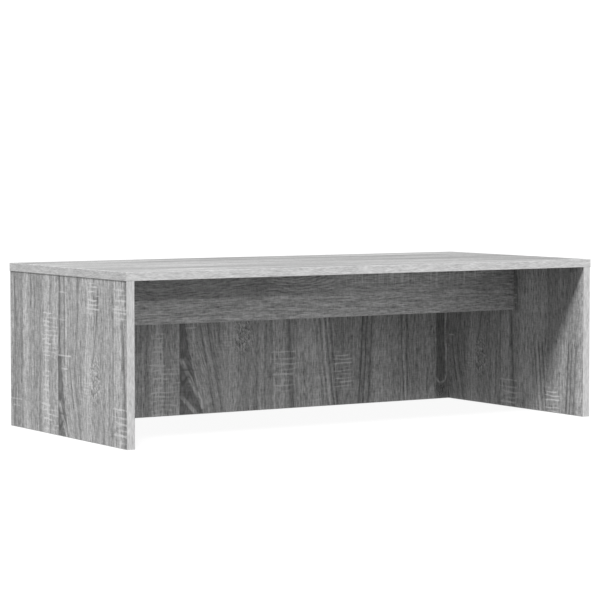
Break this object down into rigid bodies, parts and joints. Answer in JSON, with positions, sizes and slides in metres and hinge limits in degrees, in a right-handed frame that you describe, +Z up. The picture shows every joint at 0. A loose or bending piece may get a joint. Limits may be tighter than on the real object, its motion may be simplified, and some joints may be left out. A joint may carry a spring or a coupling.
{
  "type": "monitor riser stand",
  "caption": "Low desk-top monitor riser in grey oak decor: a long top on two full-height sides, with a back panel and a stiffening rail under the top, open at the front.",
  "frame": {"origin": "middle of the footprint, on the surface that the stand rests on", "axes": "+Z up; +X along the length, to the right seen from the open front; the open front faces -Y"},
  "size_m": [1, 0.45, 0.3],
  "materials": {
    "faced_board": "grey oak decor on chipboard, satin",
    "edge_band": "grey oak decor on ABS, satin",
    "cam_lock": "die-cast zinc, as cast",
    "cam_bolt": "zinc-plated steel",
    "dowel": "raw beech, fluted"
  },
  "bodies": {
    "stand": {"back_board": "faced_board", "back_bottom_band": "edge_band", "dowel_left_back": "dowel", "dowel_left_rail": "dowel", "dowel_right_back": "dowel", "dowel_right_rail": "dowel", "dowels_top_back": "dowel", "dowels_top_left_side": "dowel", "dowels_top_rail": "dowel", "dowels_top_right_side": "dowel", "left_side_board": "faced_board", "left_side_bottom_band": "edge_band", "left_side_cam_bolts": "cam_bolt", "left_side_front_band": "edge_band", "left_side_rear_band": "edge_band", "rail_bottom_band": "edge_band", "right_side_board": "faced_board", "right_side_bottom_band": "edge_band", "right_side_cam_bolts": "cam_bolt", "right_side_front_band": "edge_band", "right_side_rear_band": "edge_band", "support_rail": "faced_board", "top_board": "faced_board", "top_cam_bolts": "cam_bolt", "top_front_band": "edge_band", "top_left_band": "edge_band", "top_rear_band": "edge_band", "top_right_band": "edge_band"},
    "cam_lock_back_left_high": {"cam_lock_back_left_high": "cam_lock"},
    "cam_lock_back_left_low": {"cam_lock_back_left_low": "cam_lock"},
    "cam_lock_back_right_high": {"cam_lock_back_right_high": "cam_lock"},
    "cam_lock_back_right_low": {"cam_lock_back_right_low": "cam_lock"},
    "cam_lock_back_top_left": {"cam_lock_back_top_left": "cam_lock"},
    "cam_lock_back_top_right": {"cam_lock_back_top_right": "cam_lock"},
    "cam_lock_left_front": {"cam_lock_left_front": "cam_lock"},
    "cam_lock_left_rear": {"cam_lock_left_rear": "cam_lock"},
    "cam_lock_rail_left_end": {"cam_lock_rail_left_end": "cam_lock"},
    "cam_lock_rail_right_end": {"cam_lock_rail_right_end": "cam_lock"},
    "cam_lock_rail_top_left": {"cam_lock_rail_top_left": "cam_lock"},
    "cam_lock_rail_top_right": {"cam_lock_rail_top_right": "cam_lock"},
    "cam_lock_right_front": {"cam_lock_right_front": "cam_lock"},
    "cam_lock_right_rear": {"cam_lock_right_rear": "cam_lock"}
  },
  "joints": [
    {"name": "cam_lock_back_left_high_turn", "type": "hinge", "parent": "stand", "child": "cam_lock_back_left_high", "pos_m": [-0.45, 0.225, 0.22], "axis": [0, 1, 0], "range_deg": [0, 180]},
    {"name": "cam_lock_back_left_low_turn", "type": "hinge", "parent": "stand", "child": "cam_lock_back_left_low", "pos_m": [-0.45, 0.225, 0.06], "axis": [0, 1, 0], "range_deg": [0, 180]},
    {"name": "cam_lock_back_right_high_turn", "type": "hinge", "parent": "stand", "child": "cam_lock_back_right_high", "pos_m": [0.45, 0.225, 0.22], "axis": [0, 1, 0], "range_deg": [0, 180]},
    {"name": "cam_lock_back_right_low_turn", "type": "hinge", "parent": "stand", "child": "cam_lock_back_right_low", "pos_m": [0.45, 0.225, 0.06], "axis": [0, 1, 0], "range_deg": [0, 180]},
    {"name": "cam_lock_back_top_left_turn", "type": "hinge", "parent": "stand", "child": "cam_lock_back_top_left", "pos_m": [-0.3, 0.225, 0.251], "axis": [0, 1, 0], "range_deg": [0, 180]},
    {"name": "cam_lock_back_top_right_turn", "type": "hinge", "parent": "stand", "child": "cam_lock_back_top_right", "pos_m": [0.3, 0.225, 0.251], "axis": [0, 1, 0], "range_deg": [0, 180]},
    {"name": "cam_lock_left_front_turn", "type": "hinge", "parent": "stand", "child": "cam_lock_left_front", "pos_m": [-0.484, 0.04, 0.251], "axis": [1, 0, 0], "range_deg": [0, 180]},
    {"name": "cam_lock_left_rear_turn", "type": "hinge", "parent": "stand", "child": "cam_lock_left_rear", "pos_m": [-0.484, 0.175, 0.251], "axis": [1, 0, 0], "range_deg": [0, 180]},
    {"name": "cam_lock_rail_left_end_turn", "type": "hinge", "parent": "stand", "child": "cam_lock_rail_left_end", "pos_m": [-0.45, 0.0075, 0.225], "axis": [0, 1, 0], "range_deg": [0, 180]},
    {"name": "cam_lock_rail_right_end_turn", "type": "hinge", "parent": "stand", "child": "cam_lock_rail_right_end", "pos_m": [0.45, 0.0075, 0.225], "axis": [0, 1, 0], "range_deg": [0, 180]},
    {"name": "cam_lock_rail_top_left_turn", "type": "hinge", "parent": "stand", "child": "cam_lock_rail_top_left", "pos_m": [-0.25, 0.0075, 0.251], "axis": [0, 1, 0], "range_deg": [0, 180]},
    {"name": "cam_lock_rail_top_right_turn", "type": "hinge", "parent": "stand", "child": "cam_lock_rail_top_right", "pos_m": [0.25, 0.0075, 0.251], "axis": [0, 1, 0], "range_deg": [0, 180]},
    {"name": "cam_lock_right_front_turn", "type": "hinge", "parent": "stand", "child": "cam_lock_right_front", "pos_m": [0.484, 0.04, 0.251], "axis": [-1, 0, 0], "range_deg": [0, 180]},
    {"name": "cam_lock_right_rear_turn", "type": "hinge", "parent": "stand", "child": "cam_lock_right_rear", "pos_m": [0.484, 0.175, 0.251], "axis": [-1, 0, 0], "range_deg": [0, 180]}
  ]
}
